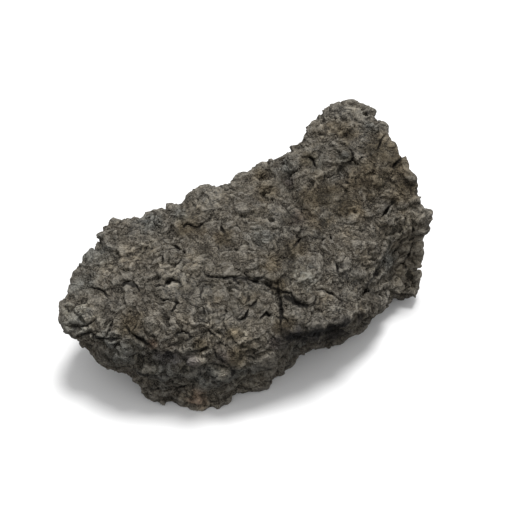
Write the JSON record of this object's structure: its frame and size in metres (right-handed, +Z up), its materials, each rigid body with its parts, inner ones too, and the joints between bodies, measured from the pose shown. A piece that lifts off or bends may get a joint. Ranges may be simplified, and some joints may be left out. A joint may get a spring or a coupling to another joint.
{
  "type": "rough rock",
  "caption": "Rough weathered grey-brown rock, longer than wide and rising to a blunt peak at one end, that lies on its own worn underside.",
  "frame": {"origin": "under the middle of the rock's box, on the plane it rests on", "axes": "+X along the rock towards its high blunt end, +Y towards its far side, +Z up from the resting plane"},
  "size_m": [0.3812, 0.2117, 0.1651],
  "materials": {
    "stone": "rough, matt and weathered, grey-brown with darker crevices"
  },
  "bodies": {
    "root": {"rock": "stone"}
  },
  "joints": []
}
